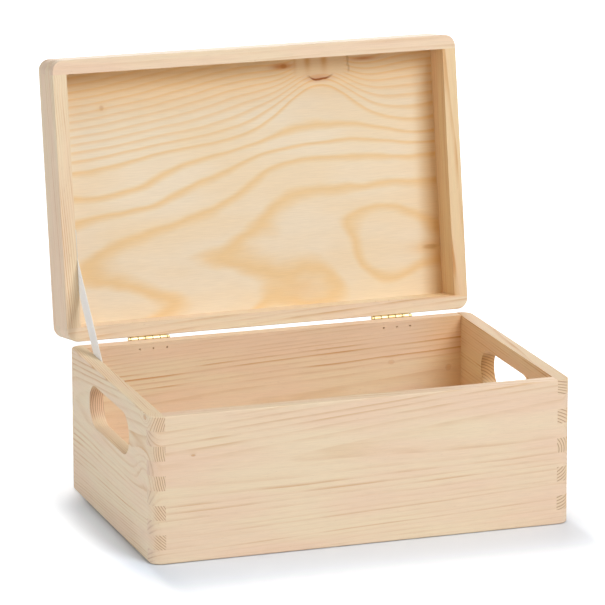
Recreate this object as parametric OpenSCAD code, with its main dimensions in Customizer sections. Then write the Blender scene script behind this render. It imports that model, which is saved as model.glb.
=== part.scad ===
// A hinged pine box with a hand-hold in each end, shown with its lid open. Millimetres.
// X runs left to right, Y from front to back and Z up. The origin is the middle of the underside.
// The carcase is finger-jointed in one piece, and the lid is then sawn off it, so the fingers
// of the lid carry on the pattern of the box below. All lid pieces are drawn shut and swung open.

/* [Box] */
// Outside width, from left to right
box_w = 300; // [260:1:400]
// Outside depth, from front to back
box_d = 198; // [170:1:300]
// Thickness of the walls and of the lid's rails
wall = 10; // [8:0.5:13]
// Angle that the lid stands open, where the ribbon pulls tight
open_angle = 99; // [92:1:105]

/* [Finger joints] */
// Height of one finger
finger = 10.25; // [9:0.05:12]
// Fingers up each corner of the box below the lid
base_fingers = 10; // [9:1:12]
// Fingers up each corner of the lid, before the saw cut
lid_fingers = 4; // [4:1:6]
// Height that sawing and sanding take out of the lid's first finger
saw_cut = 1.5; // [1:0.1:4]

/* [Edges] */
// Radius of the upright corners
corner_r = 8; // [4:0.5:9]
// Radius of the edges round the underside
base_edge_r = 1.2; // [0.6:0.1:3]
// Radius of the edges round the top of the lid
lid_edge_r = 3; // [1.5:0.5:3.5]
// Radius of the sanded edges where the lid meets the box
rim_r = 0.8; // [0.4:0.1:1.5]

/* [Panels] */
// Thickness of the plywood of the bottom and of the lid's panel
ply = 5; // [4:0.5:6]
// Depth of the rebate that the bottom sits in
rebate = 5; // [4:0.5:6]
// Depth of the groove that holds the lid's panel
groove = 4; // [3:0.5:5]
// Depth of the hollow inside the lid
lid_hollow = 26; // [20:0.5:28]

/* [Hand-holds] */
// Length of a hand-hold from end to end
hold_len = 96; // [80:1:110]
// Height of a hand-hold
hold_h = 30; // [25:0.5:34]
// Height of a hand-hold's middle above the underside
hold_z = 75; // [60:0.5:80]

/* [Hinges] */
// Distance from the middle of the box to the middle of each hinge
hinge_x = 91; // [60:1:105]
// Width of a hinge leaf, and length of its row of knuckles
leaf_w = 27; // [22:0.5:32]
// Reach of a leaf from the hinge axis
leaf_reach = 9; // [8:0.5:12]
// Thickness of the sheet brass
leaf_t = 0.8; // [0.6:0.1:1]
// Outside diameter of a knuckle
knuckle_d = 3.2; // [3:0.1:4]
// Diameter of the hinge pin
pin_d = 1.6; // [1.4:0.1:1.8]
// Gap between the shut lid and the box
shut_gap = 0.3; // [0.2:0.1:0.6]

/* [Ribbon] */
// Width of the woven ribbon that stops the lid
ribbon_w = 15; // [10:0.5:18]
// Thickness of the ribbon
ribbon_t = 0.5; // [0.4:0.1:0.8]
// Length of the ribbon along the inside of the lid
ribbon_lid_len = 23; // [18:1:30]
// Distance from the back of the lid to where the ribbon enters it
ribbon_lid_y = 56; // [45:1:60]
// Length of the ribbon from the lid to its lower end
ribbon_drop = 100; // [90:1:104]

/* [Hidden] */
$fn = 48;

// Colours
pine_front = [0.90, 0.80, 0.66];
pine_side = [0.86, 0.77, 0.63];
plywood = [0.92, 0.83, 0.68];
brass = [0.80, 0.64, 0.32];
steel = [0.74, 0.74, 0.74];
tape = [0.88, 0.87, 0.84];

// A cut runs this far past the face it starts from
past = 1;
// A captive panel is this much smaller than its rebate or groove at each edge
panel_play = 0.1;

// Carcase
back_y = box_d / 2;
left_x = -box_w / 2;
base_h = finger * base_fingers;
lid_h = finger * lid_fingers - saw_cut;
lid_z = base_h + shut_gap;

// Hinges: the knuckles' inner side is flush with the back of the box
axis_y = back_y + knuckle_d / 2;
axis_z = base_h + shut_gap / 2;
knuckles = 5;
knuckle_pitch = leaf_w / knuckles;
knuckle_gap = 0.2;
notch = knuckle_d / 2 + 0.3;
leaf_corner_r = 1;
bore_play = 0.05;
pin_head_d = 3;
pin_head_len = 2;

// Hinge nails
nail_d = 1.2;
nail_head_d = 2.6;
nail_head_h = 0.8;
nail_tip = 0.7;
nail_point = 2;
nail_hole_play = 0.03;
nail_pitch = 10;
nail_drop = 4.4;

// Ribbon and its staples
staple_w = 10;
staple_t = 0.6;
staple_wire = 1.2;
staple_leg = 6;
staple_play = 0.05;
staple_in = 6.4;
ribbon_edge = 0.1;
// The ribbon hangs this far off the wood, so that it is free of the lid as it folds
ribbon_gap = 0.1;
ribbon_x = left_x + wall + ribbon_gap;

// ---- Shared shapes ----

// The corner that a quarter round of radius r takes off, with the sharp corner at (r, 0)
module round_waste(r) {
    difference() {
        translate([0, -past]) square([r + past, r + past]);
        translate([0, r]) circle(r);
    }
}

// One half of an upright section through the carcase, rounded at its foot and at its head
module half_section(half, h, foot_r, head_r) {
    difference() {
        square([half, h]);
        translate([half - foot_r, 0]) round_waste(foot_r);
        translate([half - head_r, h]) mirror([0, 1]) round_waste(head_r);
    }
}

module full_section(half, h, foot_r, head_r) {
    half_section(half, h, foot_r, head_r);
    mirror([1, 0]) half_section(half, h, foot_r, head_r);
}

// The solid block that the walls are cut from, with every outside edge rounded
module envelope(h, foot_r, head_r) {
    straight_x = box_w - 2 * corner_r;
    straight_y = box_d - 2 * corner_r;
    rotate([90, 0, 90]) linear_extrude(straight_x, center = true)
        full_section(box_d / 2, h, foot_r, head_r);
    rotate([90, 0, 0]) linear_extrude(straight_y, center = true)
        full_section(box_w / 2, h, foot_r, head_r);
    for (flip_x = [0, 1], flip_y = [0, 1])
        mirror([flip_x, 0, 0]) mirror([0, flip_y, 0])
            translate([straight_x / 2, straight_y / 2, 0])
                rotate_extrude(angle = 90) half_section(corner_r, h, foot_r, head_r);
}

// A board seen from its face: both ends have a notch wherever the next board has a finger.
// Fingers are counted from the underside of the box, through the lid, and foot is the
// height on that count where this board starts.
module board_outline(length, h, foot, first_notch) {
    difference() {
        translate([-length / 2 - past, 0]) square([length + 2 * past, h]);
        for (k = [first_notch : 2 : base_fingers + lid_fingers], end = [-1, 1])
            translate([end * (length / 2 + past) - (wall + past), k * finger - foot])
                square([2 * (wall + past), finger]);
    }
}

// The front or back board of the box or lid, where side is -1 or 1
module long_board(side, h, foot, foot_r, head_r) {
    intersection() {
        envelope(h, foot_r, head_r);
        translate([0, side * (box_d - wall + past) / 2, 0])
            rotate([90, 0, 0]) linear_extrude(wall + past, center = true)
                board_outline(box_w, h, foot, 1);
    }
}

// The left or right board of the box or lid, where side is -1 or 1
module short_board(side, h, foot, foot_r, head_r) {
    intersection() {
        envelope(h, foot_r, head_r);
        translate([side * (box_w - wall + past) / 2, 0, 0])
            rotate([90, 0, 90]) linear_extrude(wall + past, center = true)
                board_outline(box_d, h, foot, 0);
    }
}

// A plywood panel that enters the walls by depth, smaller than its seat by play
module panel_slab(depth, play, h) {
    inner_w = box_w - 2 * wall;
    inner_d = box_d - 2 * wall;
    grow = 2 * (depth - play);
    translate([-(inner_w + grow) / 2, -(inner_d + grow) / 2, 0]) cube([inner_w + grow, inner_d + grow, h]);
}

// ---- The box below the lid ----

module base_long_board(side) {
    difference() {
        long_board(side, base_h, 0, base_edge_r, rim_r);
        translate([0, 0, -past]) panel_slab(rebate, 0, ply + past);
    }
}

module base_short_board(side) {
    difference() {
        short_board(side, base_h, 0, base_edge_r, rim_r);
        translate([0, 0, -past]) panel_slab(rebate, 0, ply + past);
        translate([side * (box_w / 2 - wall / 2), 0, hold_z]) hand_hold();
    }
}

// A round-ended hole, drawn along X through the middle of a side
module hand_hold() {
    straight = hold_len - hold_h;
    through = wall + 2 * past;
    cube([through, straight, hold_h], center = true);
    for (end = [-1, 1])
        translate([0, end * straight / 2, 0]) rotate([0, 90, 0])
            cylinder(h = through, d = hold_h, center = true);
}

module front_panel() {
    color(pine_front) base_long_board(-1);
}

module back_panel() {
    color(pine_front) difference() {
        base_long_board(1);
        for (side = [-1, 1]) at_hinge(side) nail_row() nail_hole();
    }
}

module left_side_panel() {
    color(pine_side) difference() {
        base_short_board(-1);
        base_staple_place() staple_legs(staple_play);
    }
}

module right_side_panel() {
    color(pine_side) base_short_board(1);
}

module bottom_panel() {
    color(plywood) panel_slab(rebate, panel_play, ply);
}

// ---- The lid, drawn shut ----

// Swings what is drawn shut back about the hinge axis
module opened() {
    translate([0, axis_y, axis_z]) rotate([-open_angle, 0, 0]) translate([0, -axis_y, -axis_z]) children();
}

module lid_groove() {
    translate([0, 0, lid_hollow]) panel_slab(groove, 0, ply);
}

module lid_long_rail(side) {
    translate([0, 0, lid_z]) difference() {
        long_board(side, lid_h, base_h + saw_cut, rim_r, lid_edge_r);
        lid_groove();
    }
}

module lid_short_rail(side) {
    translate([0, 0, lid_z]) difference() {
        short_board(side, lid_h, base_h + saw_cut, rim_r, lid_edge_r);
        lid_groove();
    }
}

module lid_front_rail() {
    color(pine_front) opened() lid_long_rail(-1);
}

module lid_back_rail() {
    color(pine_front) opened() difference() {
        lid_long_rail(1);
        for (side = [-1, 1]) at_hinge(side) flipped() nail_row() nail_hole();
    }
}

module lid_left_rail() {
    color(pine_side) opened() difference() {
        lid_short_rail(-1);
        lid_staple_place() staple_legs(staple_play);
    }
}

module lid_right_rail() {
    color(pine_side) opened() lid_short_rail(1);
}

module lid_top_panel() {
    color(plywood) opened()
        translate([0, 0, lid_z + lid_hollow]) panel_slab(groove, panel_play, ply);
}

// ---- Butt hinges, each drawn about its own axis with the leaf hanging below it ----

module at_hinge(side) {
    translate([side * hinge_x, axis_y, axis_z]) children();
}

// Turns a base leaf and its nails into those of the shut lid
module flipped() {
    mirror([0, 0, 1]) children();
}

// The flat of a leaf, cut back beside the other leaf's knuckles
module leaf_outline(own) {
    half = leaf_w / 2;
    difference() {
        translate([-half, -leaf_reach]) square([leaf_w, leaf_reach - notch]);
        for (end = [0, 1])
            mirror([end, 0]) translate([half - leaf_corner_r, -leaf_reach]) round_waste(leaf_corner_r);
    }
    for (k = own)
        translate([knuckle_start(k), -notch - leaf_t]) square([knuckle_pitch - knuckle_gap, notch + leaf_t]);
}

function knuckle_start(k) = -leaf_w / 2 + k * knuckle_pitch + knuckle_gap / 2;

module hinge_leaf(own) {
    difference() {
        union() {
            translate([0, leaf_t - knuckle_d / 2, 0]) rotate([90, 0, 0])
                linear_extrude(leaf_t) leaf_outline(own);
            for (k = own)
                translate([knuckle_start(k), 0, 0]) rotate([0, 90, 0])
                    cylinder(h = knuckle_pitch - knuckle_gap, d = knuckle_d);
        }
        rotate([0, 90, 0]) cylinder(h = leaf_w + 2 * past, d = pin_d + 2 * bore_play, center = true);
        nail_row() nail_hole();
    }
}

// The pin, with a rounded button on each end against the outer knuckles
module hinge_pin() {
    half = leaf_w / 2 - knuckle_gap / 2;
    dome = pin_head_d / 4;
    rotate([0, 90, 0]) {
        cylinder(h = 2 * half, d = pin_d, center = true);
        for (end = [0, 1]) mirror([0, 0, end]) translate([0, 0, half])
            rotate_extrude() difference() {
                square([pin_head_d / 2, pin_head_len]);
                translate([pin_head_d / 2 - dome, pin_head_len]) mirror([0, 1]) round_waste(dome);
            }
    }
}

// The three nails of a leaf, from the outer face of its sheet
module nail_row() {
    for (k = [-1, 0, 1])
        translate([k * nail_pitch, leaf_t - knuckle_d / 2, -nail_drop]) rotate([-90, 0, 0]) children();
}

nail_len = leaf_t + wall + nail_tip;

// A domed nail, its shank running down from the underside of its head
module nail() {
    dome_r = (pow(nail_head_d / 2, 2) + pow(nail_head_h, 2)) / (2 * nail_head_h);
    rotate_extrude() {
        intersection() {
            translate([0, nail_head_h - dome_r]) circle(dome_r);
            square([nail_head_d / 2, nail_head_h]);
        }
        polygon([[0, 0], [nail_d / 2, 0], [nail_d / 2, nail_point - nail_len], [0, -nail_len]]);
    }
}

module nail_hole() {
    translate([0, 0, -nail_len - past])
        cylinder(h = nail_len + 2 * past, d = nail_d + 2 * nail_hole_play);
}

base_knuckles = [0, 2, 4];
lid_knuckles = [1, 3];

module left_hinge_base_leaf() {
    color(brass) at_hinge(-1) hinge_leaf(base_knuckles);
}

module right_hinge_base_leaf() {
    color(brass) at_hinge(1) hinge_leaf(base_knuckles);
}

module left_hinge_lid_leaf() {
    color(brass) opened() at_hinge(-1) flipped() hinge_leaf(lid_knuckles);
}

module right_hinge_lid_leaf() {
    color(brass) opened() at_hinge(1) flipped() hinge_leaf(lid_knuckles);
}

module left_hinge_pin() {
    color(brass) at_hinge(-1) hinge_pin();
}

module right_hinge_pin() {
    color(brass) at_hinge(1) hinge_pin();
}

module left_hinge_base_nails() {
    color(brass) at_hinge(-1) nail_row() nail();
}

module right_hinge_base_nails() {
    color(brass) at_hinge(1) nail_row() nail();
}

module left_hinge_lid_nails() {
    color(brass) opened() at_hinge(-1) flipped() nail_row() nail();
}

module right_hinge_lid_nails() {
    color(brass) opened() at_hinge(1) flipped() nail_row() nail();
}

// ---- The ribbon that stops the lid ----

// The ribbon lies flat on the left wall. Its upper end runs along the open lid's rail, and
// from there it comes down at 45 degrees to the inside of the box.
// These points are on its centre line, as [y, z] with the lid open.
lid_up = [sin(open_angle - 90), cos(open_angle - 90)];
lid_out = [cos(open_angle - 90), -sin(open_angle - 90)];
function swung(p) = [axis_y, axis_z] + (axis_y - p[0]) * lid_up + (p[1] - axis_z) * lid_out;

ribbon_rise = ribbon_w / 2 + ribbon_edge;
ribbon_bend = swung([back_y - ribbon_lid_y, lid_z + ribbon_rise]);
ribbon_top = ribbon_bend + ribbon_lid_len * lid_up;
ribbon_down = [-cos(45), -sin(45)];
ribbon_foot = ribbon_bend + ribbon_drop * ribbon_down;

function across(v) = [-v[1], v[0]];

module stay_ribbon() {
    half = ribbon_w / 2;
    side_up = across(lid_up) * half;
    side_down = across(-ribbon_down) * half;
    // The mitre line where the two straight lengths meet
    bisector = across(lid_up) + across(-ribbon_down);
    mitre = bisector * (half / (bisector * across(lid_up)));
    color(tape) difference() {
        translate([ribbon_x, 0, 0]) rotate([90, 0, 90]) linear_extrude(ribbon_t) polygon([
            ribbon_top + side_up, ribbon_bend + mitre, ribbon_foot + side_down,
            ribbon_foot - side_down, ribbon_bend - mitre, ribbon_top - side_up
        ]);
        base_staple_place() staple_legs(staple_play);
        opened() lid_staple_place() staple_legs(staple_play);
    }
}

// Places a staple that is drawn with its crown along Y, on the ribbon of the left wall
module base_staple_place() {
    middle = ribbon_foot - staple_in * ribbon_down;
    translate([ribbon_x + ribbon_t, middle[0], middle[1]]) rotate([-45, 0, 0]) children();
}

// Drawn with the lid shut
module lid_staple_place() {
    middle_y = back_y - ribbon_lid_y - ribbon_lid_len / 2;
    translate([ribbon_x + ribbon_t, middle_y, lid_z + ribbon_rise]) rotate([90, 0, 0]) children();
}

module staple_legs(play) {
    reach = ribbon_t + ribbon_gap + staple_leg;
    for (end = [-1, 1])
        translate([-reach - play, end * (staple_w - staple_t) / 2, 0])
            translate([0, -staple_t / 2 - play, -staple_wire / 2 - play])
                cube([reach + play, staple_t + 2 * play, staple_wire + 2 * play]);
}

module staple() {
    staple_legs(0);
    translate([0, -staple_w / 2, -staple_wire / 2]) cube([staple_t, staple_w, staple_wire]);
}

module base_staple() {
    color(steel) base_staple_place() staple();
}

module lid_staple() {
    color(steel) opened() lid_staple_place() staple();
}

front_panel();
back_panel();
left_side_panel();
right_side_panel();
bottom_panel();
left_hinge_base_leaf();
right_hinge_base_leaf();
left_hinge_pin();
right_hinge_pin();
left_hinge_base_nails();
right_hinge_base_nails();
stay_ribbon();
base_staple();
lid_front_rail();
lid_back_rail();
lid_left_rail();
lid_right_rail();
lid_top_panel();
left_hinge_lid_leaf();
right_hinge_lid_leaf();
left_hinge_lid_nails();
right_hinge_lid_nails();
lid_staple();
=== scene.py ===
# %% [markdown]
# # A pine box with a hinged lid
#
# This box is sawn from solid pine boards and thin plywood. Its corners are finger-jointed, its lid
# turns on two small brass hinges, and a ribbon stops the lid when it is open. The solid parts come
# from a CAD model as a fixed frame. This lesson gives them their wood, brass and steel, adds the
# woven ribbon, and sets up a camera and soft light.

# %% Load the solid parts
import math

import bmesh
import bpy
from mathutils import Matrix, Vector


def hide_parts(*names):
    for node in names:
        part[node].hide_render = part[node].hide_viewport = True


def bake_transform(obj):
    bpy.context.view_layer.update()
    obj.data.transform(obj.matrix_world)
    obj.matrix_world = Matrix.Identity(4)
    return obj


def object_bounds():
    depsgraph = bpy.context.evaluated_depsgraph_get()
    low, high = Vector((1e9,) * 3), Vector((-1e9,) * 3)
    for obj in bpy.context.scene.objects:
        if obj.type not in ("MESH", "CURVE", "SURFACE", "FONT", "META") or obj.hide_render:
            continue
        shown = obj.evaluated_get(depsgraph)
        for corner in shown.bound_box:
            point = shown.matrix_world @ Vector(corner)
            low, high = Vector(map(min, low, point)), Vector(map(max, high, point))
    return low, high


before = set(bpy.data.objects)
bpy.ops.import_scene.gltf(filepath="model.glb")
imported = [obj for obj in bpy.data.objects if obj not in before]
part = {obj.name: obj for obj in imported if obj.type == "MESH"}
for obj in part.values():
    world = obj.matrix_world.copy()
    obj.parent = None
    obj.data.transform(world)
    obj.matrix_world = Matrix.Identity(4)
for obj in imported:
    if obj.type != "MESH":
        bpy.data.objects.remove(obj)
cad_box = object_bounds()
mm = 0.001
print("parts:", len(part), "box in metres:", cad_box)

# %% [markdown]
# ## The camera
#
# A long lens keeps the sides of the box nearly parallel, as in a shop catalogue. The camera is
# placed by the direction it looks from, its distance and the point it looks at. Its rotation is
# built from three perpendicular axes, because a small roll is easier to add to axes than to angles.

# %% The camera's axes
camera_side = math.radians(18.606)
camera_height = math.radians(14.282)
camera_roll = math.radians(-0.138)
straight_up = Vector((0, 0, 1))

outward = Vector((
    -math.sin(camera_side) * math.cos(camera_height),
    -math.cos(camera_side) * math.cos(camera_height),
    math.sin(camera_height),
))
level_right = (-outward).cross(straight_up).normalized()
level_up = outward.cross(level_right)
right = level_right * math.cos(camera_roll) + level_up * math.sin(camera_roll)
up = level_up * math.cos(camera_roll) - level_right * math.sin(camera_roll)
print("the camera looks along", -outward)

# %% Place the camera
camera_distance = 3165.5 * mm
looked_at = Vector((-10.3, 0, 146.06)) * mm
image_size = 605
lens_in_pixels = 4594.5
sensor_width = 36


def new_object(name, data):
    """Make an object from its data and put it in the scene."""
    made = bpy.data.objects.new(name, data)
    bpy.context.scene.collection.objects.link(made)
    return made


camera_data = bpy.data.cameras.new("camera")
camera_data.sensor_width = sensor_width
camera_data.lens = lens_in_pixels / image_size * sensor_width
camera = new_object("camera", camera_data)
camera_turn = Matrix((right, up, outward)).transposed().to_4x4()
camera.matrix_world = Matrix.Translation(looked_at + outward * camera_distance) @ camera_turn
bpy.context.scene.camera = camera
print("camera at", camera.matrix_world.translation, "lens", round(camera_data.lens, 1), "mm")

# %% [markdown]
# ## Making nodes in a script
#
# Every material below is drawn by nodes. A few small helpers keep that readable. The first two
# fill a socket and add a node, and the others are the nodes that come up again and again. Each
# gives back an output socket that the next call can take.

# %% Nodes and sums
def fill(tree, socket, value):
    """Link a socket to another one, or set it to a plain value."""
    if isinstance(value, bpy.types.NodeSocket):
        tree.links.new(value, socket)
    else:
        socket.default_value = value


def add(tree, kind, sockets, out=0, **settings):
    """Add a node, set it up, fill its inputs and give back one output."""
    made = tree.nodes.new(kind)
    for name, value in settings.items():
        setattr(made, name, value)
    for name, value in sockets.items():
        fill(tree, made.inputs[name], value)
    return made.outputs[out]


def maths(tree, operation, *values, **settings):
    sockets = dict(enumerate(values))
    return add(tree, "ShaderNodeMath", sockets, operation=operation, **settings)


def vectors(tree, operation, *values, out=0):
    sockets = dict(enumerate(values))
    return add(tree, "ShaderNodeVectorMath", sockets, out=out, operation=operation)


def scaled_by(tree, vector, amount):
    sockets = {0: vector, "Scale": amount}
    return add(tree, "ShaderNodeVectorMath", sockets, operation="SCALE")


def length_of(tree, vector):
    return vectors(tree, "LENGTH", vector, out="Value")


def parts_of(tree, vector):
    """The outputs X, Y and Z of a vector."""
    return add(tree, "ShaderNodeSeparateXYZ", {0: vector}).node.outputs


print("first helpers are ready")


# %% Fades and bells
def fade(tree, value, low, high, at_low=0.0, at_high=1.0):
    """A smooth step: at_low up to low, at_high from high on."""
    sockets = {0: value, 1: low, 2: high, 3: at_low, 4: at_high}
    return add(tree, "ShaderNodeMapRange", sockets, interpolation_type="SMOOTHSTEP")


def fade_out(tree, value, low, high, at_low=1.0):
    return fade(tree, value, low, high, at_low, 0.0)


def away_from(tree, value, middle):
    """How far a value is from the middle, to either side."""
    return maths(tree, "ABSOLUTE", maths(tree, "SUBTRACT", value, middle))


def bell(tree, value):
    """A smooth hump: 1 where the value is 0, and nearly nothing from 2 on."""
    squared = maths(tree, "MULTIPLY", value, value)
    return maths(tree, "EXPONENT", maths(tree, "MULTIPLY", squared, -1))


# %% Noise
usual_noise = (0.35, 0.65)
middle_of_noise = 0.5


def noise(tree, place, seed, detail, fineness=1.0):
    sockets = {"Vector": place, "W": seed, "Scale": fineness, "Detail": detail}
    return add(tree, "ShaderNodeTexNoise", sockets, noise_dimensions="4D")


def blobs(tree, place, size, seed, detail=2.0):
    """Soft noise with blobs of about this size. A size of infinity makes it even that way."""
    squeezed = vectors(tree, "MULTIPLY", place, [1 / length for length in size])
    return noise(tree, squeezed, seed, detail)


def wobble(tree, place, size, seed, detail=2.0):
    """The same noise, moved so that it swings to both sides of zero."""
    return maths(tree, "SUBTRACT", blobs(tree, place, size, seed, detail), middle_of_noise)


print("noise mostly lies between", usual_noise)


# %% Colours
def blend_colours(tree, amount, first, second):
    """A Mix node. Its colours are inputs 6 and 7, and the mixed colour is output 2."""
    sockets = {"Factor": amount, 6: first, 7: second}
    return add(tree, "ShaderNodeMix", sockets, out=2, data_type="RGBA")


def screen_colour(red, green, blue):
    """The colour of a paint chart, 0 to 255, as the linear light that Blender works in."""
    parts = [value / 255 for value in (red, green, blue)]
    linear = [p / 12.92 if p <= 0.04045 else ((p + 0.055) / 1.055) ** 2.4 for p in parts]
    return (*linear, 1.0)


print("mid grey on a screen is", round(screen_colour(128, 128, 128)[0], 3), "of full light")


# %% Groups and materials
def new_group(name, takes, gives):
    """An empty node group, its input sockets by name and the node that collects its outputs."""
    group = bpy.data.node_groups.new(name, "ShaderNodeTree")
    for label, kind in takes.items():
        group.interface.new_socket(label, in_out="INPUT", socket_type="NodeSocket" + kind)
    for label in gives:
        group.interface.new_socket(label, in_out="OUTPUT", socket_type="NodeSocketFloat")
    given = group.nodes.new("NodeGroupInput").outputs
    results = group.nodes.new("NodeGroupOutput").inputs
    return group, given, results


def use_group(tree, group, sockets):
    """Place a group in a material or another group and give back its outputs."""
    made = tree.nodes.new("ShaderNodeGroup")
    made.node_tree = group
    for name, value in sockets.items():
        fill(tree, made.inputs[name], value)
    return made.outputs


def new_material(name):
    """A material, its node tree and the sockets of its Principled BSDF."""
    material = bpy.data.materials.new(name)
    material.use_nodes = True
    return material, material.node_tree, material.node_tree.nodes["Principled BSDF"].inputs


# %% [markdown]
# ## Growth rings
#
# A tree grows in cones, so a board is a slice through nested tubes round the tree's pith. The
# pattern on a face needs no drawing: each point asks how far it is from the pith, and counts
# rings. A flat-sawn face then shows arches, a quarter-sawn face shows straight lines, and end
# grain shows arcs, all from one rule. Slow noise makes the rings wander and vary in width.
#
# All lengths in the groups are in millimetres: u runs along the grain, v up the board's height
# and w through its thickness.

# %% Growth ring group
wander_size = (130, 30, 30)
spacing_pace = 0.33
spacing_spread = 0.9

ring_group, given, results = new_group(
    "Growth rings",
    {
        "Board": "Vector", "Pith": "Vector", "Lean": "Vector", "Ring width": "Float",
        "Wander": "Float", "Push": "Float", "Seed": "Float",
    },
    ["Late wood", "End lines", "Tone"],
)
board = given["Board"]
seed = given["Seed"]
leaning = scaled_by(ring_group, given["Lean"], parts_of(ring_group, board)["X"])
from_pith = vectors(ring_group, "SUBTRACT", board, given["Pith"])
from_pith = vectors(ring_group, "SUBTRACT", from_pith, leaning)
radius = length_of(ring_group, vectors(ring_group, "MULTIPLY", from_pith, (0, 1, 1)))
slow = wobble(ring_group, board, wander_size, seed, detail=1.5)
radius = maths(ring_group, "MULTIPLY_ADD", slow, given["Wander"], radius)
radius = maths(ring_group, "ADD", radius, given["Push"])
ring = maths(ring_group, "DIVIDE", radius, given["Ring width"])
pace = maths(ring_group, "MULTIPLY", ring, spacing_pace)
pace = add(ring_group, "ShaderNodeCombineXYZ", {0: pace})
spacing = noise(ring_group, pace, seed, detail=1.0)
spacing = maths(ring_group, "SUBTRACT", spacing, middle_of_noise)
ring = maths(ring_group, "MULTIPLY_ADD", spacing, spacing_spread, ring)
print("rings are counted from the pith")

# %% [markdown]
# ## Lines of late wood
#
# In each year, pale early wood darkens slowly to a thin line of late wood, then the next year
# starts sharply. The part of the count after the decimal point is the age within the year. Some
# years are stronger than others, and a line also comes and goes along its length.

# %% From ring count to lines
late_starts = 0.48
late_starts_on_ends = 0.45
few_strong_years = 2.0
year_spread, weakest_year = 0.85, 0.3
patch_size = (45, 7, 7)
patch_strength = (0.3, 1.3)
tone_size = (120, 20, 20)
patch_seed_step, tone_seed_step = 3, 7


def ring_lines(tree, count, start, peak=0.91):
    """Dark at the end of each year: a slow rise from start to peak, then a quick fall."""
    age = maths(tree, "FRACT", count)
    return maths(tree, "MULTIPLY", fade(tree, age, start, peak), fade_out(tree, age, peak, 1.0))


year = maths(ring_group, "ADD", maths(ring_group, "FLOOR", ring), seed)
strength = add(ring_group, "ShaderNodeTexWhiteNoise", {"W": year}, noise_dimensions="1D")
strength = maths(ring_group, "POWER", strength, few_strong_years)
strength = maths(ring_group, "MULTIPLY_ADD", strength, year_spread, weakest_year)
patch_seed = maths(ring_group, "ADD", seed, patch_seed_step)
patch = blobs(ring_group, board, patch_size, patch_seed, detail=1)
patch = fade(ring_group, patch, *usual_noise, *patch_strength)
strength = maths(ring_group, "MULTIPLY", strength, patch)
late = maths(ring_group, "MULTIPLY", ring_lines(ring_group, ring, late_starts), strength)
tone_seed = maths(ring_group, "ADD", seed, tone_seed_step)
tone = blobs(ring_group, board, tone_size, tone_seed, detail=2)
fill(ring_group, results["Late wood"], late)
fill(ring_group, results["End lines"], ring_lines(ring_group, ring, late_starts_on_ends))
fill(ring_group, results["Tone"], tone)
print("group", ring_group.name, "has", len(ring_group.nodes), "nodes")

# %% [markdown]
# ## Fibres and resin flecks
#
# Between the rings the wood is made of long thin fibres. They are a noise that is squeezed across
# the grain and stretched along it. Where a second, sparser noise peaks, a short dark dash is left:
# a resin channel that the saw has cut open.

# %% Fibre group
fibre_size = (11, 0.55, 0.55)
streak_size = (75, 2.6, 2.6)
fleck_size = (3.2, 0.45, 0.45)
fleck_peaks = (0.73, 0.82)

fibre_group, given, results = new_group(
    "Wood fibres", {"Board": "Vector", "Seed": "Float"}, ["Fibre", "Streak", "Fleck"]
)
board = given["Board"]
seed = given["Seed"]
fill(fibre_group, results["Fibre"], blobs(fibre_group, board, fibre_size, seed, detail=3))
fill(fibre_group, results["Streak"], blobs(fibre_group, board, streak_size, seed, detail=2))
fleck = blobs(fibre_group, board, fleck_size, seed, detail=0)
fill(fibre_group, results["Fleck"], fade(fibre_group, fleck, *fleck_peaks))
print("group", fibre_group.name, "has", len(fibre_group.nodes), "nodes")

# %% [markdown]
# ## Knots
#
# A knot is where a branch started. Its own rings are small and dark at the rim, and the board's
# rings flow round it. The group gives a bump that pushes the rings aside, a mask for the knot's
# heart and one for its rim. The knot is an ellipse in u and v that runs through the thickness.

# %% Knot group
ragged_size = (5, 2, math.inf)
ragged_depth = 0.55
push_reach = 2.2
heart_edge = (0.45, 1.25)
rim_inside = (0.55, 0.95)
rim_outside = (1.0, 1.35)

knot_group, given, results = new_group(
    "Knot", {"Board": "Vector", "Centre": "Vector", "Size": "Vector", "Seed": "Float"},
    ["Push", "Heart", "Rim"],
)
from_knot = vectors(knot_group, "SUBTRACT", given["Board"], given["Centre"])
from_knot = vectors(knot_group, "MULTIPLY", from_knot, given["Size"])
ragged = wobble(knot_group, given["Board"], ragged_size, given["Seed"])
distance = maths(
    knot_group, "MULTIPLY_ADD", ragged, ragged_depth, length_of(knot_group, from_knot))
push = bell(knot_group, maths(knot_group, "DIVIDE", distance, push_reach))
rim = maths(knot_group, "MULTIPLY", fade(knot_group, distance, *rim_inside),
            fade_out(knot_group, distance, *rim_outside))
fill(knot_group, results["Push"], push)
fill(knot_group, results["Heart"], fade_out(knot_group, distance, *heart_edge))
fill(knot_group, results["Rim"], rim)


def knot_at(tree, place, seed, centre, size):
    """Place a knot by its middle and its half width along u and v."""
    sockets = {
        "Board": place, "Centre": (*centre, 0), "Size": (1 / size[0], 1 / size[1], 0),
        "Seed": seed,
    }
    return use_group(tree, knot_group, sockets)


print("group", knot_group.name, "has", len(knot_group.nodes), "nodes")

# %% [markdown]
# ## Board space
#
# Each board lies its own way, so a Mapping node turns the object's coordinates into its own u, v
# and w in millimetres. The lid's rails were the top of the same boards until the box was sawn
# open, so the lid's pieces are first swung shut and raised by the saw cut. Their rings then carry
# on from the box below, as they do on the real thing.

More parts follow.
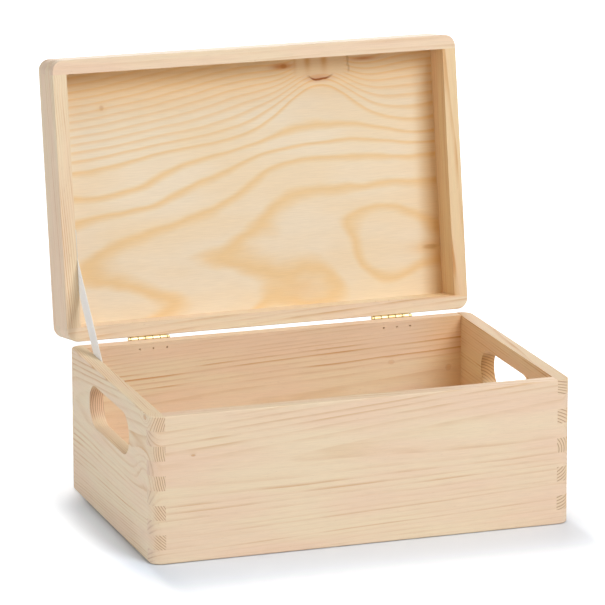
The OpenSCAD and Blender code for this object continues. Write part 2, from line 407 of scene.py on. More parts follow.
# %% Matrices from the object to each board
hinge_line = Vector((0, 100.6, 102.65)) * mm
open_angle = math.radians(99)
saw_cut = 1.5 * mm
inner_back = 89 * mm
to_millimetres = Matrix.Scale(1 / mm, 4)
swung_shut = (
    Matrix.Translation(hinge_line + Vector((0, 0, saw_cut)))
    @ Matrix.Rotation(open_angle, 4, "X")
    @ Matrix.Translation(-hinge_line)
)
long_board = Matrix(((1, 0, 0), (0, 0, 1), (0, -1, 0))).to_4x4()
short_board = Matrix(((0, 1, 0), (0, 0, 1), (1, 0, 0))).to_4x4()
seen_from_inside = Matrix(((1, 0, 0), (0, -1, 0), (0, 0, -1))).to_4x4()
panel_inside = Matrix.Translation((0, inner_back, 0)) @ seen_from_inside
print("the lid swings", round(math.degrees(open_angle)), "degrees to shut")


# %% The place and the facing of each point
def board_place(tree, to_board):
    """Where each point is, in the board's own directions and in millimetres."""
    scaled = to_millimetres @ to_board
    sockets = {
        "Vector": tree.nodes.new("ShaderNodeTexCoord").outputs["Object"],
        "Location": scaled.to_translation(), "Rotation": to_board.to_euler(),
        "Scale": scaled.to_scale(),
    }
    return add(tree, "ShaderNodeMapping", sockets)


def board_facing(tree, to_board):
    """Which way the surface faces at each point, in the board's own directions."""
    sockets = {
        "Vector": tree.nodes.new("ShaderNodeTexCoord").outputs["Normal"],
        "Rotation": to_board.to_euler(),
    }
    return add(tree, "ShaderNodeMapping", sockets, vector_type="VECTOR")


# %% [markdown]
# ## Pine boards
#
# Sanded pine is cream with tan lines, and end grain soaks up more light, so it is browner. The
# material mixes an early and a late colour by the ring mask, does the same with the end-grain
# colours, and picks between the two by how far the surface faces along the grain. Fibres and
# streaks shift the colour a little, and fibres and late wood raise the surface a few hundredths
# of a millimetre.

# %% Pine colours
early_pine = screen_colour(238, 218, 188)
pink_pine = screen_colour(238, 210, 184)
late_pine = screen_colour(222, 187, 147)
dark_pine = screen_colour(208, 152, 98)
early_end = screen_colour(234, 208, 176)
late_end = screen_colour(160, 106, 72)
knot_heart = screen_colour(214, 160, 104)
knot_rim = screen_colour(176, 124, 84)
# Painted shade: the colour factor that browns wood where little light reaches it.
shaded_wood = (0.93, 0.72, 0.45)
white = (1, 1, 1, 1)
no_tint = (1, 1, 1)
print("early pine as light:", [round(light, 2) for light in early_pine])

# %% What every wood surface shares
fibre_range, fibre_shades = (0.25, 0.75), (0.96, 1.03)
gloss_range = (0.2, 0.8)
wood_shine = 0.3


def fibre_shade(tree, colour, fibres):
    shade = fade(tree, fibres["Fibre"], *fibre_range, *fibre_shades)
    return scaled_by(tree, colour, shade)


def tinted(tree, colour, amount, tint):
    """The colour multiplied by the tint where amount is 1."""
    return vectors(tree, "MULTIPLY", colour, blend_colours(tree, amount, white, (*tint, 1)))


def paint_brown_shade(tree, colour, amount):
    """Painted shade: light that has met wood twice is browner, so a corner is darkened towards
    brown.
    """
    return blend_colours(tree, amount, colour, vectors(tree, "MULTIPLY", colour, shaded_wood))


def sanded(tree, shader, fibres, relief, roughness, strength, depth):
    """Set the roughness range, the relief with its depth in metres, and a low shine."""
    fill(tree, shader["Roughness"], fade(tree, fibres["Fibre"], *gloss_range, *roughness))
    bump = {"Height": relief, "Strength": strength, "Distance": depth}
    fill(tree, shader["Normal"], add(tree, "ShaderNodeBump", bump))
    shader["Specular IOR Level"].default_value = wood_shine


# %% Long grain and end grain
streak_range, streak_strength = (0.45, 0.75), 0.16
dark_beyond = 0.9
end_line_strength = 0.7


def long_grain_colour(tree, rings, fibres, contrast):
    early = blend_colours(tree, fade(tree, rings["Tone"], *usual_noise), early_pine, pink_pine)
    streak = fade(tree, fibres["Streak"], *streak_range, 0.0, streak_strength)
    late = maths(tree, "MULTIPLY_ADD", rings["Late wood"], contrast, streak)
    colour = blend_colours(tree, late, early, late_pine)
    darkest = maths(tree, "SUBTRACT", late, dark_beyond, use_clamp=True)
    return blend_colours(tree, darkest, colour, dark_pine)


def end_grain_colour(tree, rings):
    late = maths(tree, "MULTIPLY", rings["End lines"], end_line_strength)
    return blend_colours(tree, late, early_end, late_end)


# %% Knots of a board
rim_share = 0.4


def gather_knots(tree, place, seed, knots):
    """Add up the knots. Each is its middle, half widths, push on the rings and darkness."""
    push, heart, rim = 0.0, 0.0, 0.0
    for centre, size, height, darkness in knots:
        knot = knot_at(tree, place, seed, centre, size)
        push = maths(tree, "MULTIPLY_ADD", knot["Push"], height, push)
        heart = maths(tree, "MULTIPLY_ADD", knot["Heart"], darkness, heart)
        rim = maths(tree, "MULTIPLY_ADD", knot["Rim"], rim_share * darkness, rim)
    return push, heart, rim


# %% Pine material
ring_wander = 3.0
facing_end, facing_up = (0.55, 0.95), (0.5, 0.9)
hold_edge = (60, 75)
rim_height = (101, 102)
# Painted shade on the inner face: its range of w and how deep it gets near a corner.
inner_face, corner_shade_depth = (-91, -89.5), 0.6
beyond_the_board = (200, 201)
fleck_strength = 0.14
late_relief = 0.5
pine_roughness, pine_bump, pine_depth = (0.55, 0.72), 0.35, 0.06 * mm


def pine_board(name, to_board, seed, pith, lean, ring_width, contrast, ends=1.0, tint=no_tint,
               hold_shade=no_tint, rim_tint=no_tint, corner=beyond_the_board, knots=()):
    """A pine material. pith is (v, w) where u is 0, lean how far each moves per mm of u.

    tint multiplies the long grain; on the right board and its rail it is painted shade. The
    hand-hold's tint darkens the end grain inside the hold as painted shade, and the rim's tint
    multiplies the rim's colour. corner is the range of u in which the inner face gets painted
    shade."""
    material, tree, shader = new_material("pine_" + name)
    place = board_place(tree, to_board)
    spot = parts_of(tree, place)
    faces = parts_of(tree, board_facing(tree, to_board))
    push, heart, rim = gather_knots(tree, place, seed, knots)
    rings = use_group(tree, ring_group, {
        "Board": place, "Pith": (0, *pith), "Lean": (0, *lean), "Ring width": ring_width,
        "Wander": ring_wander, "Push": push, "Seed": seed,
    })
    fibres = use_group(tree, fibre_group, {"Board": place, "Seed": seed})

    on_rim = maths(tree, "MULTIPLY", fade(tree, faces["Y"], *facing_up),
                   fade(tree, spot["Y"], *rim_height))
    long_grain = long_grain_colour(tree, rings, fibres, contrast)
    long_grain = vectors(tree, "MULTIPLY", long_grain, tint)
    long_grain = tinted(tree, long_grain, on_rim, rim_tint)
    in_hold = fade_out(tree, maths(tree, "ABSOLUTE", spot["X"]), *hold_edge)
    end_grain = tinted(tree, end_grain_colour(tree, rings), in_hold, hold_shade)
    on_end = fade(tree, maths(tree, "ABSOLUTE", faces["X"]), *facing_end, 0.0, ends)
    colour = blend_colours(tree, on_end, long_grain, end_grain)
    colour = blend_colours(tree, heart, colour, knot_heart)
    colour = blend_colours(tree, rim, colour, knot_rim)

    # Painted shade, browner towards the corner of the inner face.
    painted_shade = maths(tree, "MULTIPLY", fade(tree, spot["X"], *corner, 0.0, corner_shade_depth),
                 fade(tree, spot["Z"], *inner_face))
    colour = fibre_shade(tree, paint_brown_shade(tree, colour, painted_shade), fibres)
    fleck = maths(tree, "MULTIPLY", fibres["Fleck"], fleck_strength)
    fill(tree, shader["Base Color"], blend_colours(tree, fleck, colour, late_end))
    relief = maths(tree, "MULTIPLY_ADD", rings["Late wood"], late_relief, fibres["Fibre"])
    sanded(tree, shader, fibres, relief, pine_roughness, pine_bump, pine_depth)
    return material


# %% [markdown]
# ## One log, many boards
#
# Each board gets its own pith, so no two look alike. The front board's pith comes nearer to the
# face on the right, which opens the arches that way. The left board was cut close to its pith, so
# its lines lie dense and straight. Box and lid share a board on each side, and the rails differ
# from their boards only in how strong the lines are and a little in colour.

# %% Put the pine on the boards
pine_boards = {
    "front": dict(
        seed=3.1, pith=(68, 69.7), lean=(0.05, 0.019), ring_width=3.0, contrast=0.65, ends=0.3,
        knots=[((-120.5, 74), (1.4, 0.7), 1.5, 0.6)]),
    "back": dict(
        seed=11.7, pith=(52, -121), lean=(0.03, 0.012), ring_width=2.3, contrast=1.3, ends=0.3,
        # The corner range puts painted shade on the inner face towards the right end, where the
        # right side shades it; the lid's back rail shares it.
        corner=(95, 141),
        knots=[((86.7, 72.5), (2.2, 1.6), 0.6, 0.3), ((130.4, 65), (2.0, 2.2), 0.6, 0.35)]),
    "left_side": dict(
        seed=23.4, pith=(72, -80), lean=(-0.06, 0.02), ring_width=1.5, contrast=1.2,
        # The ends inside this hand-hold are a little darker: painted shade.
        tint=(1.02, 1.03, 1.01), hold_shade=(0.98, 0.92, 0.92),
        knots=[((-85.8, 99.8), (3.0, 1.8), 4.0, 0.6), ((-84, 62), (9, 5), 3.5, 0.0)]),
    # The right board and its lid rail are browned all over as painted shade, for their inner faces
    # lie in shade. The ends inside its hand-hold get deep painted shade, and its rim is darker.
    "right_side": dict(
        seed=31.9, pith=(54, 133), lean=(0.01, 0.02), ring_width=2.1, contrast=1.3,
        tint=(0.97, 0.90, 0.76), hold_shade=(0.76, 0.58, 0.35), rim_tint=(0.85, 0.85, 0.88)),
}
rails = {
    "front": (long_board, "lid_front_rail", dict(contrast=0.4, lean=(0.0, 0.01))),
    "back": (long_board, "lid_back_rail", dict(contrast=1.8, tint=(1.03, 1.08, 1.10))),
    "left_side": (short_board, "lid_left_rail", dict(contrast=1.3)),
    "right_side": (short_board, "lid_right_rail", dict(contrast=1.5, rim_tint=no_tint)),
}


def dress(node, material):
    part[node].data.materials[0] = material


for side, facts in pine_boards.items():
    turn, rail, changes = rails[side]
    dress(side + "_panel", pine_board(side, turn, **facts))
    dress(rail, pine_board(rail, turn @ swung_shut, **{**facts, **changes}))
print("pine on", len(pine_boards) + len(rails), "boards")

# %% [markdown]
# ## The plywood panels
#
# Plywood is peeled from a turning log, so its face shows broad, wavy bands where the knife runs
# nearly along the rings. That figure has one peak and a few closed swirls, so here the ring count
# is a height field: a slope across the sheet, with soft hills and dips on it. A contour line of
# that landscape is a growth line. Each hill is its middle, its half widths and its height, in
# millimetres and rings.

# %% Hills and dips of the veneer
rings_per_mm_along = -0.008
rings_per_mm_up = 0.037
hills = (
    ((75, 120), (50, 20), -1.9),
    ((95, 25), (35, 50), -1.4),
    ((-95, 0), (100, 30), 2.5),
    ((95, 0), (85, 45), 2.9),
    ((25, 120), (40, 65), -0.9),
    ((85, 125), (110, 20), 2.8),
    ((-100, 95), (60, 20), 0.9),
    ((-140, 55), (35, 20), 0.3),
    ((112, 36), (32, 20), -0.62),
    ((62, 62), (50, 18), -0.45),
    ((-95, 45), (60, 10), -0.1),
    ((-15, 5), (20, 18), 0.35),
    ((125, 3), (32, 12), 0.35),
    ((54, 143), (24, 10), 0.2),
)

veneer_group, given, results = new_group(
    "Peeled veneer", {"Sheet": "Vector", "Seed": "Float", "Figure": "Float"},
    ["Late wood", "Tone"],
)


def add_hills(tree, place, hills):
    """The sum of soft hills. Each is (middle, half widths, height)."""
    total = 0.0
    for centre, size, height in hills:
        shifted = vectors(tree, "SUBTRACT", place, (*centre, 0))
        shifted = vectors(tree, "MULTIPLY", shifted, (1 / size[0], 1 / size[1], 0))
        hill = bell(tree, length_of(tree, shifted))
        total = maths(tree, "MULTIPLY_ADD", hill, height, total)
    return total


place = given["Sheet"]
seed = given["Seed"]
spot = parts_of(veneer_group, place)
slope = maths(veneer_group, "MULTIPLY", spot["X"], rings_per_mm_along)
slope = maths(veneer_group, "MULTIPLY_ADD", spot["Y"], rings_per_mm_up, slope)
swirls = add_hills(veneer_group, place, hills)
count = maths(veneer_group, "MULTIPLY_ADD", swirls, given["Figure"], slope)
print("hills and dips on the slope:", len(hills))

# %% [markdown]
# ## Tight rings under the branch
#
# Towards the lid's front edge the rings crowd, and they rise to a peak where a branch grew. Above
# a rising line the count climbs faster. The logarithm of one plus an exponential makes that
# change of pace smooth: it is nearly zero below the line and a straight climb above it.

# %% The tight rings
tight_width = 4.0
tight_rise = 0.155 * tight_width
line_along, line_heights = (-150, 40), (106, 127)
branch_along = 55
peak_half_width, peak_height, peak_crowding = 33, 31, 1.3

rising = fade(veneer_group, spot["X"], *line_along, *line_heights)
peak = maths(veneer_group, "SUBTRACT", spot["X"], branch_along)
peak = bell(veneer_group, maths(veneer_group, "DIVIDE", peak, peak_half_width))
line = maths(veneer_group, "MULTIPLY_ADD", peak, peak_height, rising)
crowding = maths(veneer_group, "MULTIPLY_ADD", peak, peak_crowding * tight_rise, tight_rise)
above = maths(veneer_group, "SUBTRACT", spot["Y"], line)
above = maths(veneer_group, "EXPONENT", maths(veneer_group, "DIVIDE", above, tight_width))
above = maths(veneer_group, "LOGARITHM", maths(veneer_group, "ADD", above, 1), math.e)
count = maths(veneer_group, "MULTIPLY_ADD", above, crowding, count)
print("the rings crowd above", line_heights[0], "mm at the left")

# %% Waves and lines of the veneer
wave_size, wave_depth = (45, 22, 20), 0.55
first_ring = 0.2
broad_rings, narrow_rings = (4, 8), (5, 9)
veneer_starts, veneer_strengths = (0.5, 0.3), (1.0, 0.7)
veneer_peak = 0.8
veneer_tone_size = (90, 30, 30)

waves = wobble(veneer_group, place, wave_size, seed)
count = maths(veneer_group, "MULTIPLY_ADD", waves, wave_depth, count)
count = maths(veneer_group, "SUBTRACT", count, first_ring)
start = fade(veneer_group, count, *broad_rings, *veneer_starts)
late = maths(veneer_group, "MULTIPLY", ring_lines(veneer_group, count, start, veneer_peak),
             fade(veneer_group, count, *narrow_rings, *veneer_strengths))
fill(veneer_group, results["Late wood"], late)
fill(veneer_group, results["Tone"], blobs(veneer_group, place, veneer_tone_size, seed))
print("group", veneer_group.name, "has", len(veneer_group.nodes), "nodes")

# %% [markdown]
# ## A branch scar
#
# Near the lid's front edge the knife passed through the base of a branch. The rings stop at a
# patch of pale folds, with a crack below it and resin stains round it. Each of these is a soft
# hill or the distance to a curve, so they stay smooth at any size.

# %% Branch scar: its patch, folds and stains
scar_bottom = 164
scar_blob = (4, 4, 4)
ragged_along, ragged_up = 4, 2
patch_sides, patch_bottom = (17, 22), (-1.5, 2)
fold_hills = (
    ((46, 177), (2.4, 9), 0.8),
    ((58.5, 177), (2.6, 9), 0.8),
    ((36, 174), (1.5, 7), 0.5),
)
stain_hills = (
    ((27, 172), (7, 2), 1.0),
    ((89, 174), (9, 1.4), 0.6),
    ((54, 162), (9, 2.5), 0.5),
)

scar_group, given, results = new_group(
    "Branch scar", {"Sheet": "Vector", "Seed": "Float"}, ["Burr", "Folds", "Crack", "Stain"]
)
place = given["Sheet"]
spot = parts_of(scar_group, place)
ragged = wobble(scar_group, place, scar_blob, given["Seed"], detail=1)
sideways = maths(scar_group, "SUBTRACT", spot["X"], branch_along)
sideways = maths(scar_group, "MULTIPLY_ADD", ragged, ragged_along, sideways)
from_middle = maths(scar_group, "ABSOLUTE", sideways)
upward = maths(scar_group, "SUBTRACT", spot["Y"], scar_bottom)
upward = maths(scar_group, "MULTIPLY_ADD", ragged, ragged_up, upward)
burr = maths(scar_group, "MULTIPLY", fade_out(scar_group, from_middle, *patch_sides),
             fade(scar_group, upward, *patch_bottom))
fill(scar_group, results["Burr"], burr)
fill(scar_group, results["Folds"], add_hills(scar_group, place, fold_hills))
fill(scar_group, results["Stain"], add_hills(scar_group, place, stain_hills))
print("folds:", len(fold_hills), "stains:", len(stain_hills))

# %% Branch scar: its crack
cup_curve, cup_depth = 0.03, -3
crack_width, crack_strength, crack_ends = (0.3, 1.2), 0.95, (4, 11)
curl_along, curl_strength, curl_foot = 21.5, 0.28, (0, 2.5)

cup = maths(scar_group, "MULTIPLY", sideways, sideways)
cup = maths(scar_group, "MULTIPLY_ADD", cup, cup_curve, cup_depth)
crack = away_from(scar_group, upward, cup)
crack = maths(scar_group, "MULTIPLY", fade_out(scar_group, crack, *crack_width, crack_strength),
              fade_out(scar_group, from_middle, *crack_ends))
curl = away_from(scar_group, sideways, curl_along)
curl = maths(scar_group, "MULTIPLY", fade_out(scar_group, curl, *crack_width, curl_strength),
             fade(scar_group, upward, *curl_foot))
fill(scar_group, results["Crack"], maths(scar_group, "MAXIMUM", crack, curl))
print("group", scar_group.name, "has", len(scar_group.nodes), "nodes")

# %% [markdown]
# ## The plywood's finish
#
# Peeled pine is paler and yellower than the boards, and its lines are soft at both sides. The
# scar and the knots are laid over the bands, and the strips beside two of the lid's rails get
# painted shadow, browner and darker, because little light reaches them.

# %% Plywood colours
early_ply = screen_colour(241, 227, 203)
warm_ply = screen_colour(241, 222, 191)
late_ply = screen_colour(238, 208, 160)
ply_knot = screen_colour(232, 190, 128)
ply_knot_rim = screen_colour(184, 112, 48)
ply_fold = screen_colour(220, 174, 116)
ply_stain = screen_colour(192, 106, 30)
ply_crack = screen_colour(146, 80, 24)
print("early plywood as light:", [round(light, 2) for light in early_ply])

# %% What lies over the bands
# Painted shadow of the lid's right and front rails on its panel: the ranges of u and v, and its
# depth.
beside_right_rail, beside_front_rail, rail_shadow_depth = (121, 141), (134, 178), 0.75


def add_scar(tree, colour, scar):
    """Folds, stains and the crack, each over the one before."""
    folds = maths(tree, "MULTIPLY", scar["Folds"], scar["Burr"])
    colour = blend_colours(tree, folds, colour, ply_fold)
    colour = blend_colours(tree, scar["Stain"], colour, ply_stain)
    return blend_colours(tree, scar["Crack"], colour, ply_crack)


# Painted shadow: the panel browns beside the right rail and under the front rail.
def paint_rail_shadow(tree, colour, place):
    spot = parts_of(tree, place)
    painted_shade = maths(tree, "MAXIMUM", fade(tree, spot["X"], *beside_right_rail, 0.0, rail_shadow_depth),
                 fade(tree, spot["Y"], *beside_front_rail, 0.0, rail_shadow_depth))
    return paint_brown_shade(tree, colour, painted_shade)


def add_ply_knots(tree, colour, place, seed, knots):
    """Each knot is its middle, half widths, and how strong its soft and dark parts are."""
    for centre, size, soft, dark in knots:
        knot = knot_at(tree, place, seed, centre, size)
        amount = maths(tree, "MULTIPLY", knot["Push"], soft)
        colour = blend_colours(tree, amount, colour, ply_knot)
        amount = maths(tree, "MULTIPLY", knot["Heart"], dark)
        colour = blend_colours(tree, amount, colour, ply_knot_rim)
    return colour


# %% Plywood material
ply_roughness, ply_bump, ply_depth = (0.5, 0.66), 0.3, 0.05 * mm


def plywood(name, to_sheet, seed, figure, knots=(), scarred=False):
    """A veneer material. figure is how high the hills are, 1 for the lid's panel."""
    material, tree, shader = new_material("plywood_" + name)
    place = board_place(tree, to_sheet)
    veneer = use_group(tree, veneer_group, {"Sheet": place, "Seed": seed, "Figure": figure})
    fibres = use_group(tree, fibre_group, {"Board": place, "Seed": seed})
    early = blend_colours(tree, fade(tree, veneer["Tone"], *usual_noise), early_ply, warm_ply)
    late = veneer["Late wood"]
    if scarred:
        scar = use_group(tree, scar_group, {"Sheet": place, "Seed": seed})
        late = maths(tree, "MULTIPLY", late, maths(tree, "SUBTRACT", 1, scar["Burr"]))
    colour = blend_colours(tree, late, early, late_ply)
    if scarred:
        colour = add_scar(tree, colour, scar)
        colour = paint_rail_shadow(tree, colour, place)
    colour = add_ply_knots(tree, colour, place, seed, knots)
    fill(tree, shader["Base Color"], fibre_shade(tree, colour, fibres))
    sanded(tree, shader, fibres, fibres["Fibre"], ply_roughness, ply_bump, ply_depth)
    return material


# %% Put the plywood on the panels
lid_knots = (
    ((28, 172), (2.5, 1.8), 0.4, 0.6),
    ((-108.7, 151.3), (1.9, 2.0), 0.3, 0.25),
    ((132.8, 34.3), (6, 2), 0.7, 0.4),
    ((35, 11), (5, 3.5), 0.4, 0.0),
)
lid_inside = panel_inside @ swung_shut
dress("lid_top_panel", plywood(
    "lid", lid_inside, seed=5.3, figure=1.0, knots=lid_knots, scarred=True))
dress("bottom_panel", plywood("bottom", panel_inside, seed=17.8, figure=0.6))
print("the lid's panel has", len(lid_knots), "knots")

# %% [markdown]
# ## Brass and steel
#
# The hinges are stamped brass, a little dull from handling. A metal's look is its reflections, so
# the material is fully metallic and noise only varies its roughness and warmth. Near the pin,
# dark rings of painted shade stand for the gaps between the knuckles. The staples are plain steel
# wire.

# %% Gaps between the knuckles
knuckle_start = 77.5 * mm
knuckle_pitch = 5.4 * mm
middle_of_knuckle, gap_edge = 0.5, (0.40, 0.49)
knuckle_radius = (1.8 * mm, 2.0 * mm)
gap_shade_colour = screen_colour(92, 70, 36)
print("each knuckle is", round(knuckle_pitch / mm, 1), "mm wide")


def knuckle_gap_shade(tree, source):
    """Painted shade: dark rings where one knuckle of a hinge meets the next, close to the pin only.
    """
    from_pin = vectors(tree, "SUBTRACT", source, hinge_line)
    from_pin = length_of(tree, vectors(tree, "MULTIPLY", from_pin, (0, 1, 1)))
    across = maths(tree, "ABSOLUTE", parts_of(tree, source)["X"])
    across = maths(tree, "SUBTRACT", across, knuckle_start)
    turn = maths(tree, "FRACT", maths(tree, "DIVIDE", across, knuckle_pitch))
    gap = fade(tree, away_from(tree, turn, middle_of_knuckle), *gap_edge)
    return maths(tree, "MULTIPLY", gap, fade_out(tree, from_pin, *knuckle_radius))


# %% Metal materials
smudge_seed, smudge_detail, smudges_per_metre = 2.0, 3, 150
rough_range = (0.3, 0.7)


def metal(name, bright, dull, roughness, gaps=False):
    material, tree, shader = new_material(name)
    source = tree.nodes.new("ShaderNodeTexCoord").outputs["Object"]
    smudge = noise(tree, source, smudge_seed, smudge_detail, smudges_per_metre)
    colour = blend_colours(tree, fade(tree, smudge, *usual_noise), bright, dull)
    if gaps:
        # Painted shade in the gaps between the knuckles.
        colour = blend_colours(tree, knuckle_gap_shade(tree, source), colour, gap_shade_colour)
    fill(tree, shader["Base Color"], colour)
    fill(tree, shader["Roughness"], fade(tree, smudge, *rough_range, *roughness))
    shader["Metallic"].default_value = 1.0
    return material


brass = metal("brass", screen_colour(232, 216, 168), screen_colour(208, 182, 128),
              roughness=(0.32, 0.42), gaps=True)
steel = metal("staple_steel", screen_colour(206, 206, 204), screen_colour(170, 168, 164),
              roughness=(0.25, 0.4))
hinge_parts = [node for node in part if "hinge" in node]
staples = [node for node in part if "staple" in node]
for node in hinge_parts:
    dress(node, brass)
for node in staples:
    dress(node, steel)
print("brass on", len(hinge_parts), "parts, steel on", len(staples))

# %% [markdown]
# ## The stay ribbon
#
# A woven ribbon is stapled flat to the inside of the lid, turns down at 45 degrees and is stapled
# to the inside of the box, tight while the lid is open. It is far too thin and straight to need a
# cloth simulation: a grid is laid along its route with bmesh, then given its thickness.

# %% Ribbon route
ribbon_width = 15 * mm
ribbon_thickness = 0.5 * mm
ribbon_plane = -139.65 * mm
ribbon_foot = Vector((0, 46.55, 87.62)) * mm
ribbon_bend = Vector((0, 117.27, 158.33)) * mm
ribbon_top = Vector((0, 120.86, 181.05)) * mm
lower_length = (ribbon_bend - ribbon_foot).length
lower_run = (ribbon_bend - ribbon_foot).normalized()
upper_run = (ribbon_top - ribbon_bend).normalized()
route_length = lower_length + (ribbon_top - ribbon_bend).length
print("ribbon route", round(route_length / mm, 1), "mm")

# %% Ribbon mesh
rows = 62
columns = 6
half = 0.5
x_axis = Vector((1, 0, 0))

# The grid starts one metre square about its middle, and each corner is then moved to its place.
shape = bmesh.new()
bmesh.ops.create_grid(shape, x_segments=columns, y_segments=rows, size=half)
for corner in shape.verts:
    run = (corner.co.y + half) * route_length
    side = corner.co.x * ribbon_width
    if run < lower_length:
        centre = ribbon_foot + lower_run * run
    else:
        centre = ribbon_bend + upper_run * (run - lower_length)
    # The heading swings round within one width of the bend, slowly at both ends of the swing.
    swing = min(max((run - lower_length) / ribbon_width + half, 0), 1)
    swing = swing * swing * (3 - 2 * swing)
    heading = lower_run.lerp(upper_run, swing).normalized()
    corner.co = centre + heading.cross(x_axis) * side + x_axis * ribbon_plane
bmesh.ops.recalc_face_normals(shape, faces=shape.faces)
ribbon_mesh = bpy.data.meshes.new("ribbon")
shape.to_mesh(ribbon_mesh)
shape.free()
ribbon = new_object("ribbon", ribbon_mesh)
body = ribbon.modifiers.new("thickness", "SOLIDIFY")
body.thickness = ribbon_thickness
body.offset = 0
print("ribbon faces", len(ribbon_mesh.polygons))

# %% [markdown]
# ## Satin thread and the ribbon's bend
#
# A wave texture, turned to lie along the ribbon, gives the fine threads. Thin cloth lets light
# through, so most of its colour comes from subsurface scattering. The ribbon runs from the box at
# its foot to the lid at its top, and bends smoothly between the two.

# %% Ribbon material
thread_turn = math.radians(-45)
thread_fineness = 400.0
bright_thread = screen_colour(234, 233, 227)
dull_thread = screen_colour(218, 215, 207)

ribbon_material, tree, shader = new_material("ribbon")
source = tree.nodes.new("ShaderNodeTexCoord").outputs["Object"]
along_ribbon = {"Vector": source, "Rotation": (thread_turn, 0, 0)}
threads = {"Vector": add(tree, "ShaderNodeMapping", along_ribbon), "Scale": thread_fineness}
threads = fade(tree, add(tree, "ShaderNodeTexWave", threads), 0, 1)
fill(tree, shader["Base Color"], blend_colours(tree, threads, bright_thread, dull_thread))
shader["Roughness"].default_value = 0.7
shader["Subsurface Weight"].default_value = 0.9
shader["Subsurface Radius"].default_value = (1.0, 1.0, 1.0)
shader["Subsurface Scale"].default_value = 1.5 * mm
ribbon_mesh.materials.append(ribbon_material)
print("threads turned by", round(math.degrees(thread_turn)), "degrees")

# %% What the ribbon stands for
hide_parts("stay_ribbon")
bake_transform(ribbon)

# %% [markdown]
# ## The floor
#
# The box stands on a white studio floor. The floor glows a little for the camera alone, so it is
# pure white away from the shadow without putting more light on the box. Metal sees the same
# white. Close to the box the glow stops, so that the real shadow shows, and the floor's own colour
# is greyer there: a painted shadow over the real one. A thin painted dark line runs where the box
# touches it.

# %% Floor mesh
floor_half_width = 4.0
floor_drop = 0.2 * mm

floor_shape = bmesh.new()
bmesh.ops.create_grid(floor_shape, x_segments=1, y_segments=1, size=floor_half_width)
bmesh.ops.translate(floor_shape, verts=floor_shape.verts, vec=(0, 0, -floor_drop))
floor_mesh = bpy.data.meshes.new("floor")
floor_shape.to_mesh(floor_mesh)
floor_shape.free()
floor = new_object("floor", floor_mesh)
print("floor is", 2 * floor_half_width, "metres wide")

# %% How far each point of the floor is from the box
corner_radius = 8 * mm
any_height = 1.0
contact_width, contact_line_level = 1.5 * mm, 0.88
shadow_beside, shadow_before, shadow_full = 52 * mm, 135 * mm, 1.1
shadow_behind = (40 * mm, 120 * mm)

# Absolute values fold the floor onto one quarter, because the box is the same on both sides.
floor_material, tree, shader = new_material("white_floor")
source = tree.nodes.new("ShaderNodeTexCoord").outputs["Object"]
spot = parts_of(tree, source)
straight_edge = (cad_box[1][0] - corner_radius, -cad_box[0][1] - corner_radius, any_height)
beside = vectors(tree, "SUBTRACT", vectors(tree, "ABSOLUTE", source), straight_edge)
beside = vectors(tree, "MAXIMUM", beside, (0, 0, 0))
from_box = maths(tree, "SUBTRACT", length_of(tree, beside), corner_radius)
# Painted shadow: a thin dark line where the box meets the floor.
painted_contact_line = fade(tree, from_box, 0.0, contact_width, contact_line_level, 1.0)
reach = (1 / shadow_beside, 1 / shadow_before, 0)
ahead = length_of(tree, vectors(tree, "MULTIPLY", beside, reach))
ahead = fade(tree, ahead, 0.0, shadow_full)
behind = fade(tree, spot["Y"], *shadow_behind)
either = maths(tree, "ADD", ahead, behind)
open_floor = maths(tree, "SUBTRACT", either, maths(tree, "MULTIPLY", ahead, behind))
print("the shadow reaches", round(shadow_before / mm), "mm in front of the box")

# %% Floor colours
# Painted shadow: close to the box the floor's own colour is greyer and cooler, bluest beside the
# box's left side.
box_sides = (cad_box[0][0], cad_box[1][0])
left_edge, front_edge = (-165 * mm, -145 * mm), (-130 * mm, -100 * mm)
shade_left = (0.70, 0.80, 0.95, 1)
shade_front_left = (0.738, 0.80, 0.882, 1)
shade_front_right = (0.765, 0.80, 0.855, 1)
open_colour = (0.84, 0.87, 0.91, 1)

shade = blend_colours(tree, fade(tree, spot["X"], *box_sides), shade_front_left, shade_front_right)
in_front = maths(tree, "MAXIMUM", fade(tree, spot["X"], *left_edge),
                 fade_out(tree, spot["Y"], *front_edge))
shade = blend_colours(tree, in_front, shade_left, shade)
floor_colour = blend_colours(tree, open_floor, shade, open_colour)
fill(tree, shader["Base Color"], scaled_by(tree, floor_colour, painted_contact_line))
shader["Roughness"].default_value = 0.9
print("the open floor's colour:", open_colour[:3])

# %% Floor glow
side_edge, side_level = (149 * mm, 157 * mm), 0.13
open_level = 0.65
glow_in_shade = (0.97, 1.0, 1.035, 1)


def seen_directly(tree):
    """1 for the camera, and for what shiny and clear things show. 0 for light on the box."""
    seen = tree.nodes.new("ShaderNodeLightPath").outputs
    direct = maths(tree, "MAXIMUM", seen["Is Camera Ray"], seen["Is Glossy Ray"])
    return maths(tree, "MAXIMUM", direct, seen["Is Transmission Ray"])


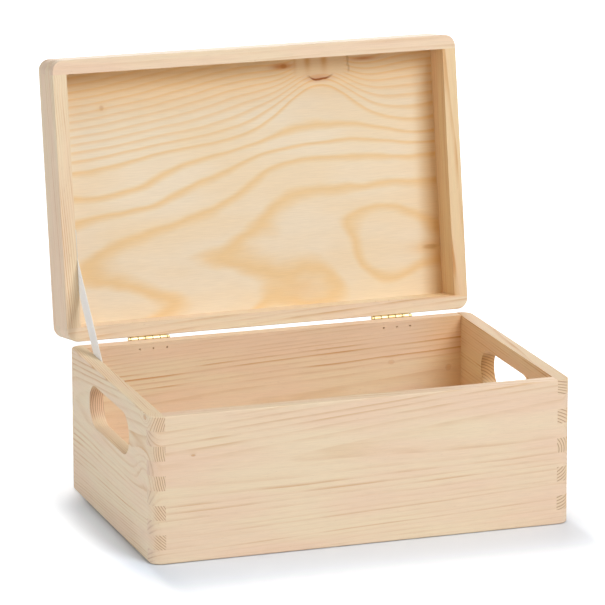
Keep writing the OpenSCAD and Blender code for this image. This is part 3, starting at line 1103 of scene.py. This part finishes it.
side_glow = fade(tree, maths(tree, "ABSOLUTE", spot["X"]), *side_edge, 0.0, side_level)
glow = fade(tree, open_floor, 0.0, 1.0, side_glow, open_level)
glow = maths(tree, "MULTIPLY", seen_directly(tree), glow)
fill(tree, shader["Emission Color"], blend_colours(tree, open_floor, glow_in_shade, white))
fill(tree, shader["Emission Strength"], glow)
floor_mesh.materials.append(floor_material)
print("the floor glows", side_level, "at the sides and", open_level, "in the open")

# %% [markdown]
# ## Sky and lamps
#
# A large soft lamp from the upper right shapes the box, and one above lights its rims. Three weak
# ones fill the shadows: cool from the left, warm from the front left and plain from behind. The
# sky is white where it is seen, but gives only a little light.

# %% Sky
sky_light, sky_seen = 0.10, 1.0

world = bpy.data.worlds.new("studio")
bpy.context.scene.world = world
world.use_nodes = True
tree = world.node_tree
background = tree.nodes["Background"].inputs
background["Color"].default_value = white
fill(tree, background["Strength"], fade(tree, seen_directly(tree), 0, 1, sky_light, sky_seen))
print("sky light", sky_light)


# %% Lamps
def softbox(name, spot, size, level, tint=(1, 1, 1)):
    """A square lamp aimed at the box, as strong as level on a surface that faces it."""
    lamp_data = bpy.data.lights.new(name, "AREA")
    lamp_data.color = tint
    lamp_data.size = size
    lamp = new_object(name, lamp_data)
    away = Vector(spot) - looked_at
    # A lamp's light thins out with the square of its distance, so its energy grows with it.
    lamp_data.energy = level * math.pi ** 2 * away.length_squared
    lamp.matrix_world = Matrix.Translation(spot) @ away.to_track_quat("Z", "Y").to_matrix().to_4x4()


softbox("key", spot=(0.95, -2.2, 1.75), size=1.3, level=0.565)
softbox("top", spot=(0.3, -0.4, 2.4), size=1.6, level=0.38)
softbox("left_fill", spot=(-2.4, 0.35, 0.25), size=0.5, level=0.25, tint=(0.86, 0.97, 1.14))
softbox("warm_fill", spot=(-1.9, -1.3, 0.9), size=1.2, level=0.13, tint=(1.0, 0.74, 0.45))
softbox("back_fill", spot=(0.8, 2.6, 0.9), size=1.0, level=0.3)
bpy.context.scene.view_settings.view_transform = "Standard"
print("lamps:", len(bpy.data.lights))
